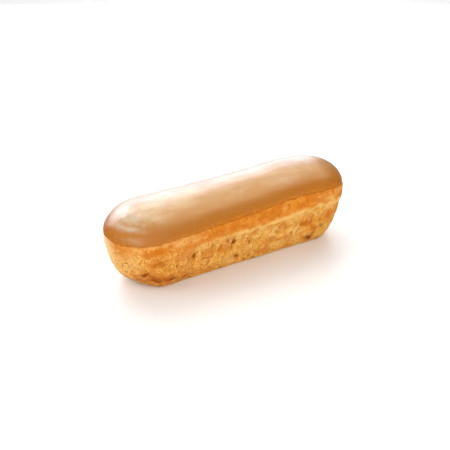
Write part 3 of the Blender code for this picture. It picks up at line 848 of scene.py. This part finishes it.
chouxFinish = {
    "toast": (0.60, 0.165, 0.007, 1),
    "golden": (0.70, 0.30, 0.029, 1),
    "yellow": (0.78, 0.42, 0.070, 1),
    "orange": (0.64, 0.182, 0.008, 1),
    "amber": (0.72, 0.265, 0.025, 1),
    "rust": (0.55, 0.125, 0.005, 1),
    "pale": (0.86, 0.53, 0.17, 1),
    # cream: painted light on the left end
    "cream": (0.95, 0.76, 0.45, 1),
    # painted shade in the groove under the crack's lip
    "lipShade": (0.56, 0.30, 0.08, 1),
    # pit and hole: the crumb's brown inside, darkened further as painted shade in hollows and pores
    "pit": (0.50, 0.15, 0.006, 1),
    "hole": (0.20, 0.045, 0.002, 1),
    "burnt": (0.25, 0.05, 0.003, 1),
    "sockets": {
        "Specular IOR Level": 0.12,
        "Sheen Weight": 0.1,
        "Sheen Roughness": 0.4,
        "Sheen Tint": (1.0, 0.85, 0.6, 1),
        "Subsurface Weight": 0.18,
        "Subsurface Radius": (0.0025, 0.0009, 0.0002),
        "Subsurface Scale": 1.0,
    },
    # cloudy patterns: size in mm, length against width, contrast, shift
    "clouds": {
        "coarse": (5, 1.3, 1.7, 0), "blotches": (2.6, 1.3, 2.2, 0.017),
        "specks": (1.1, 1, 2.4, 0.071), "patches": (6, 1.4, 1.9, 0.031),
        "grit": (0.85, 1, 2.4, 0.053), "clusters": (8, 1.3, 2, 0.083),
        "webs": (5, 1.2, 2.2, 0.129), "dryness": (1.5, 1, 2, 0.013),
        "fineGrain": (0.5, 1, 1.6, 0.021), "grain": (1.1, 1, 1.6, 0.04),
    },
    # crumb: size of the cells in mm, limit, reach, height against width, slant
    "crumbs": {
        "small": (1.3, 0.5, 0.5, 1.3, 0.3), "large": (2.6, 0.5, 0.42, 1.7, 0.45),
        "lines": (2.4, 0.5, 0.5, 1.4, 0.2),
    },
    # smooth steps: from, to, and the results there where they aren't 0 and 1
    "ramps": {
        "upper": (0, 0.2), "amber": (0.3, 0.9), "specks": (0.62, 0.95, 0, 0.45),
        "patches": (0.55, 0.9, 0, 0.6), "grainy": (0, 1, 0.15, 0.5),
        "grainAbove": (0, 1, 1, 0.5), "darkGrit": (0.5, 1), "lightGrit": (0.45, 0),
        "onToast": (0, 1, 1, 0.15), "raised": (-0.08, -0.6, 0, 0.75),
        "raisedTorn": (0, 1, 0.35, 1), "hollowBrownAndShade": (0.1, 0.95, 0, 0.7),
        "clusters": (0.3, 0.7, 0.1, 1), "webs": (0.55, 0.85), "websAbove": (0, 1, 1, 0.2),
        "poresAbove": (0, 1, 0.7, 0.25), "sparse": (0, 0.7, 0.3, 0.5),
        "pitRim": (0.05, 0.5, 0, 0.8), "pitFloor": (0.25, 0.9, 0, 0.95),
        "foot": (0.035, 0.015), "footGrit": (0.1, 0.5),
        "underLow": (0.09, 0.04), "overFoot": (0.015, 0.035), "singed": (0.6, 0.95, 0, 0.6),
        "dryness": (0.2, 0.8, 0.60, 0.82),
    },
    "paleAndPaintedLightShare": 0.8,
    "lipShadeShare": 0.6,
    "lipShare": 0.85,
    "footShare": 0.8,
    "endLightShare": 0.8,
    "poreBump": 1.5,
    "bump": {"Strength": 0.5, "Distance": 0.0003},
}


# Baked crust: golden and yellow, orange to amber above the crack, with rust specks. Over that, in
# turn: pale places, partly painted highlights and the painted light of the left end, painted olive
# shade under the crack's lip, toasted patches, dark and light grit, pale strands and brown hollows,
# pits, pores and fine cracks, whose brown is partly painted shade, the crack's pale lip, the pale
# foot, burnt spots, and the cream painted light on the left end's shoulder.
def makeChouxMaterial(group, crumbGroup):
    look = chouxFinish
    material, tree, shader = newMaterial("goldenCrust", look["sockets"])

    def eased(value, name):
        return rampNode(tree, value, *look["ramps"][name])

    cloud = {name: outputs[0] for name, outputs in placeGroup(tree, group, look["clouds"]).items()}
    crumb = placeGroup(tree, crumbGroup, look["crumbs"])
    hollow, torn, pitted = (readValue(tree, name) for name in ("hollow", "torn", "pitted"))
    height, grain = readValue(tree, "height"), readValue(tree, "grainy")
    upper = eased(readValue(tree, "aboveCrack"), "upper")
    baked = mixColours(tree, eased(cloud["blotches"], "amber"), look["orange"], look["amber"])
    colour = mixColours(tree, cloud["coarse"], look["golden"], look["yellow"])
    colour = mixColours(tree, upper, colour, baked)
    specks = eased(cloud["specks"], "specks")
    # Pale places: partly the crust's own paler patches, partly painted highlights and the painted light
    # on the left end.
    paleAndPaintedLight = times(tree, readValue(tree, "paleAndPaintedLight"), look["paleAndPaintedLightShare"])
    # Painted shade: olive in the groove under the crack's lip.
    lipShade = times(tree, readValue(tree, "groove"), look["lipShadeShare"])
    toasted = larger(tree, eased(cloud["patches"], "patches"), readValue(tree, "toasted"))
    onToast = eased(toasted, "onToast")
    grainy = times(tree, eased(grain, "grainy"), eased(upper, "grainAbove"))
    dark = times(tree, eased(cloud["grit"], "darkGrit"), grainy)
    light = times(tree, eased(cloud["grit"], "lightGrit"), grainy, onToast)
    raised = times(tree, eased(hollow, "raised"), eased(torn, "raisedTorn"), onToast)
    # Hollows, pores, fine cracks and small pits turn brown: partly the crumb's own colour, partly painted
    # shade.
    hollowBrownAndShade = eased(hollow, "hollowBrownAndShade")
    small = times(tree, crumb["small"]["Pores"], eased(cloud["clusters"], "clusters"))
    webs = times(tree, eased(cloud["webs"], "webs"), eased(upper, "websAbove"))
    small = larger(tree, small, times(tree, crumb["lines"]["Cracks"], webs))
    small = times(tree, small, eased(upper, "poresAbove"))
    porous = larger(tree, small, times(tree, crumb["large"]["Pores"], torn))
    porous = times(tree, porous, eased(grain, "sparse"))
    pitRim = eased(pitted, "pitRim")
    porous = larger(tree, porous, eased(pitted, "pitFloor"))
    lip = mathNode(tree, "MULTIPLY", readValue(tree, "lip"), look["lipShare"], clamp=True)
    foot = times(tree, eased(height, "foot"), eased(cloud["grit"], "footGrit"), look["footShare"])
    low = times(tree, eased(height, "underLow"), eased(height, "overFoot"))
    singed = times(tree, low, eased(cloud["blotches"], "singed"))
    burnt = larger(tree, readValue(tree, "burnt"), singed)
    # Painted light: cream on the left end's lit shoulder.
    endLight = times(tree, readValue(tree, "paintedEndLight"), look["endLightShare"])
    layers = (
        (specks, "rust"), (paleAndPaintedLight, "pale"), (lipShade, "lipShade"), (toasted, "toast"), (dark, "rust"),
        (light, "pale"), (raised, "pale"), (hollowBrownAndShade, "pit"), (pitRim, "pit"), (porous, "hole"),
        (lip, "pale"), (foot, "pale"), (burnt, "burnt"), (endLight, "cream"),
    )
    tree.links.new(layColours(tree, colour, layers, look), shader.inputs["Base Color"])
    tree.links.new(eased(cloud["dryness"], "dryness"), shader.inputs["Roughness"])
    relief = mathNode(tree, "ADD", cloud["fineGrain"], cloud["grain"])
    relief = mathNode(tree, "SUBTRACT", relief, times(tree, porous, look["poreBump"]))
    bump = addNode(tree, "ShaderNodeBump", {"Height": relief, **look["bump"]})
    tree.links.new(bump.outputs[0], shader.inputs["Normal"])
    return material


fondantFinish = {
    "coffee": (0.465, 0.215, 0.045, 1),
    "cream": (0.53, 0.30, 0.11, 1),
    "deep": (0.445, 0.15, 0.016, 1),
    # colour of the painted highlights
    "highlightTint": (0.55, 0.43, 0.28, 1),
    "thin": (0.60, 0.19, 0.012, 1),
    "sockets": {
        "Specular IOR Level": 0.5,
        "Coat Roughness": 0.25,
        "Subsurface Weight": 0.05,
        "Subsurface Radius": (0.002, 0.0012, 0.0006),
        "Subsurface Scale": 1.0,
    },
    # as for the choux
    "clouds": {
        "bands": (13, 3, 1.4, 0), "clouds": (3.5, 2.2, 1.6, 0.037),
        "fray": (2.2, 1.5, 1.2, 0.091), "satin": (6, 2, 1.2, 0.043),
        "ripple": (1.4, 1.5, 1, 0.067),
    },
    "ramps": {
        "bands": (0.25, 0.8), "bandsRise": (0.4, 1.4), "clouds": (0.3, 0.8, 0, 0.35),
        "lowEdge": (1.3, 0.15), "fray": (0.2, 0.8, -0.04, 0.06), "thin": (0.22, -0.05, 0, 0.75),
        "satin": (0.2, 0.8, 0.46, 0.58), "satinRise": (0.2, 1.2, 0.5, 1),
        "coatRise": (0.2, 1.2, 0.1, 0.55), "coatDeep": (0, 1, 1, 0.3),
    },
    "bump": {"Strength": 0.12, "Distance": 0.0002},
}


# Set fondant: light coffee, and over it in turn cloudy paler bands along the length, deeper clouds,
# a deeper lower part with a thin frayed edge, the deeper places, those at the left tip painted dark
# reflections, and the painted highlights. It is smoother towards its edge, and its satin coat is
# weaker there and where it is deeper.
def makeFondantMaterial(group):
    look = fondantFinish
    material, tree, shader = newMaterial("coffeeFondant", look["sockets"])

    def eased(value, name):
        return rampNode(tree, value, *look["ramps"][name])

    cloud = {name: outputs[0] for name, outputs in placeGroup(tree, group, look["clouds"]).items()}
    rise, deepened = readValue(tree, "aboveEdge"), readValue(tree, "deepened")
    bands = times(tree, eased(cloud["bands"], "bands"), eased(rise, "bandsRise"))
    clouds = eased(cloud["clouds"], "clouds")
    frayed = mathNode(tree, "SUBTRACT", rise, eased(cloud["fray"], "fray"))
    layers = (
        (bands, "cream"), (clouds, "deep"), (eased(rise, "lowEdge"), "deep"),
        (eased(frayed, "thin"), "thin"), (deepened, "deep"), (readValue(tree, "paleAndPaintedLight"), "highlightTint"),
    )
    tree.links.new(layColours(tree, look["coffee"], layers, look), shader.inputs["Base Color"])
    satin = times(tree, eased(cloud["satin"], "satin"), eased(rise, "satinRise"))
    tree.links.new(satin, shader.inputs["Roughness"])
    bump = addNode(tree, "ShaderNodeBump", {"Height": cloud["ripple"], **look["bump"]})
    tree.links.new(bump.outputs[0], shader.inputs["Normal"])
    coat = times(tree, eased(rise, "coatRise"), eased(deepened, "coatDeep"))
    tree.links.new(coat, shader.inputs["Coat Weight"])
    return material


studio = {
    "floorSize": 8.0,
    "floorLook": {"Base Color": (0.92, 0.92, 0.92, 1), "Roughness": 0.55},
    "worldColour": (1.0, 0.99, 0.98, 1),
    "worldStrength": 0.42,
    "facingDown": "farWash",    # whitens the floor far behind; the other lights face the eclair
    # place, size, power, tint, and whether it shows in gloss and lights matt surfaces; one that is
    # below the floor casts no shadow
    "lights": {
        "farWash": ((0.95, 1.5, 1.1), (2.6, 2.0), 20.0, (1.0, 1.0, 1.0), False, True),
        "rearSoftbox": ((0.2, 0.5, 0.65), (1.4, 0.9), 2.7, (1.0, 0.99, 0.98), False, True),
        "rearGloss": ((0.13, 0.86, 0.45), (1.55, 0.7), 16.5, (0.70, 0.84, 1.0), True, False),
        "endGloss": ((-0.12, 0.72, 0.5), (0.35, 0.35), 1.9, (0.65, 0.86, 1.0), True, False),
        "lowGloss": ((0.5, 0.75, -0.2), (1.5, 0.55), 2.0, (0.90, 0.93, 1.0), True, False),
        "topGloss": ((0.35, 0.15, 0.85), (1.4, 0.9), 10.5, (1.0, 0.96, 0.80), True, False),
        "leftSoftbox": ((-0.7, 0.25, 0.45), (0.6, 0.6), 3.0, (1.0, 0.99, 0.97), False, True),
        "leftGlint": ((-0.58, -0.15, 0.65), (0.25, 0.2), 0.08, (1.0, 1.0, 1.0), True, False),
        "frontFill": ((-0.25, -0.9, 0.45), (1.5, 1.0), 9.6, (1.0, 0.98, 0.95), False, True),
    },
}

camera = {
    "lookAt": (0, 0, 20.4 * mm),
    "distance": 378 * mm,
    "elevation": 23.0,
    "azimuth": 34.35,           # to the left of straight in front
    "lens": 60.6,
    "sensor": 36.0,
    "shift": (-0.01296, -0.0198),
    "clip": (0.01, 50),
}


# A square of floor, not seen in gloss.
def makeFloor():
    half = studio["floorSize"] / 2
    corners = half * np.array([(-1, -1, 0), (1, -1, 0), (1, 1, 0), (-1, 1, 0)])
    mesh = bpy.data.meshes.new("studioFloor")
    mesh.from_pydata(corners, [], [(0, 1, 2, 3)])
    mesh.materials.append(newMaterial("paleFloor", studio["floorLook"])[0])
    floor = addObject("studioFloor", mesh)
    floor.visible_glossy = False


# Puts a thing at a place and turns it so that its -Z axis points to the target.
def aimAt(thing, place, target):
    thing.location = place
    way = np.array(target) - np.array(place)
    flat = math.hypot(way[0], way[1])
    thing.rotation_euler = (math.atan2(flat, -way[2]), 0, math.atan2(-way[0], way[1]))


# The world's light and the lamps, seen in gloss, on matt surfaces, or both.
def makeLights():
    world = bpy.data.worlds.new("studioWorld")
    world.use_nodes = True
    background = world.node_tree.nodes["Background"]
    background.inputs["Color"].default_value = studio["worldColour"]
    background.inputs["Strength"].default_value = studio["worldStrength"]
    bpy.context.scene.world = world
    world.cycles_visibility.glossy = False
    for name, (place, size, power, tint, gloss, matt) in studio["lights"].items():
        lamp = bpy.data.lights.new(name, "AREA")
        lamp.shape = "RECTANGLE"
        lamp.size, lamp.size_y = size
        lamp.energy = power
        lamp.use_shadow = place[2] > 0
        lamp.color = tint
        light = addObject(name, lamp)
        light.visible_camera = False
        light.visible_glossy = gloss
        light.visible_diffuse = matt
        aimAt(light, place, (*place[:2], 0) if name == studio["facingDown"] else camera["lookAt"])


# The camera stands back from what it looks at, by its distance, elevation and azimuth.
def makeCamera():
    lens = bpy.data.cameras.new("studioCamera")
    lens.lens, lens.sensor_width = camera["lens"], camera["sensor"]
    lens.shift_x, lens.shift_y = camera["shift"]
    lens.clip_start, lens.clip_end = camera["clip"]
    up, turn = math.radians(camera["elevation"]), math.radians(camera["azimuth"])
    back = np.array([-math.sin(turn) * math.cos(up), -math.cos(turn) * math.cos(up), math.sin(up)])
    eye = addObject("studioCamera", lens)
    aimAt(eye, np.array(camera["lookAt"]) + camera["distance"] * back, camera["lookAt"])
    bpy.context.scene.camera = eye


# Moves the pieces together so that the icing's middle is over that of the CAD icing.
def alignToPart(pieces, guide):
    low, high = (np.array(corner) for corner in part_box("fondant_icing"))
    points = np.array([v.co for v in guide.data.vertices])
    shift = (low + high) / 2 - (points.min(0) + points.max(0)) / 2
    for piece in pieces:
        count = len(piece.data.vertices)
        flat = np.empty(count * 3)
        piece.data.vertices.foreach_get("co", flat)
        places = flat.reshape(-1, 3) + [shift[0], shift[1], 0]
        piece.data.vertices.foreach_set("co", places.ravel())
        piece.data.update()


bpy.context.scene.view_settings.view_transform = "Standard"
makeFloor()
makeLights()
makeCamera()
print("studio ready")
bun = makeBun()
fondant = makeIcing()
alignToPart([bun, fondant], fondant)
print("pieces ready")
group = makeMottleGroup()
bun.data.materials.append(makeChouxMaterial(group, makeCrumbGroup()))
fondant.data.materials.append(makeFondantMaterial(group))
print("finishes ready")
for piece, node, slot in ((bun, "choux_bun", "choux"), (fondant, "fondant_icing", "icing")):
    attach(piece, "root")
    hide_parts(node)
